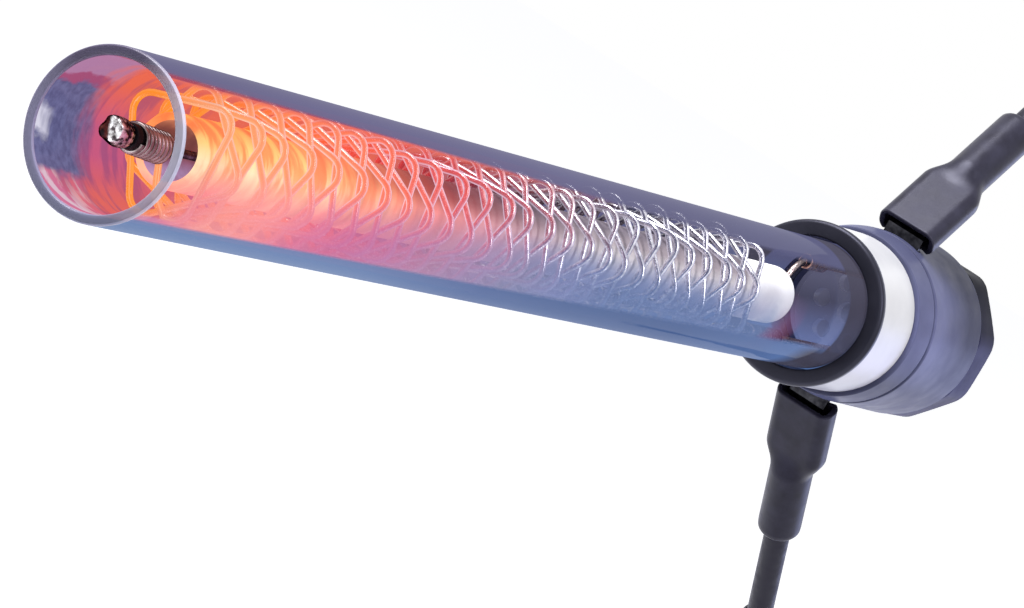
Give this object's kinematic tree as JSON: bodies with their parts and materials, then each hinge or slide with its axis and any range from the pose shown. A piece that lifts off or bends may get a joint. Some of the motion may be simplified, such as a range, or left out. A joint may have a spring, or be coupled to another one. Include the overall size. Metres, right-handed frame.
{
  "type": "in-line quartz tube air heater",
  "caption": "In-line electric hot-air heater: a quartz tube round a star-wound glowing wire on a ceramic core, in a black moulded head with two push-on terminals and leads.",
  "frame": {"origin": "centre of the air-inlet face, the flat rear end of the octagonal body", "axes": "+X runs along the heater from the air inlet to the open nozzle end, +Z points at the upper terminal, +Y completes the frame"},
  "size_m": [0.2866, 0.0276, 0.1264],
  "materials": {
    "black_moulding": "satin black moulding",
    "white_label": "satin white film",
    "grey_fibre": "pressed fibre",
    "brass": "turned brass",
    "white_ceramic": "unglazed white ceramic",
    "quartz_glass": "clear fused quartz",
    "element_wire": "bright resistance wire, glowing over its front half",
    "nickel": "bright nickel",
    "copper": "drawn copper",
    "tinned_metal": "tinned sheet",
    "boot_vinyl": "satin dark vinyl",
    "lead_silicone": "satin dark sleeve",
    "sleeve_vinyl": "satin dark vinyl"
  },
  "bodies": {
    "heater": {"rear_body": "black_moulding", "front_collar": "black_moulding", "label_band": "white_label", "tube_gasket": "grey_fibre", "inlet_insert": "brass", "wire_guide": "black_moulding", "glass_tube": "quartz_glass", "ceramic_core": "white_ceramic", "heating_element": "element_wire", "center_rod": "nickel", "rod_wrap": "nickel", "weld_bead": "nickel", "rod_ferrule": "nickel", "tail_ferrule": "nickel", "upper_feed_wire": "copper", "lower_feed_wire": "copper", "upper_tab": "tinned_metal", "lower_tab": "tinned_metal"},
    "upper_lead_set": {"upper_receptacle": "tinned_metal", "upper_boot": "boot_vinyl", "upper_conductor": "copper", "upper_lead": "lead_silicone", "upper_eyelet": "tinned_metal", "upper_eyelet_sleeve": "sleeve_vinyl"},
    "lower_lead_set": {"lower_receptacle": "tinned_metal", "lower_boot": "boot_vinyl", "lower_conductor": "copper", "lower_lead": "lead_silicone", "lower_eyelet": "tinned_metal", "lower_eyelet_sleeve": "sleeve_vinyl"}
  },
  "joints": [
    {"name": "upper_push_on", "type": "slide", "parent": "heater", "child": "upper_lead_set", "axis": [-0.7193, 0, 0.6947], "range_m": [0, 0.012]},
    {"name": "lower_push_on", "type": "slide", "parent": "heater", "child": "lower_lead_set", "axis": [-0.6691, 0, -0.7431], "range_m": [0, 0.012]}
  ]
}
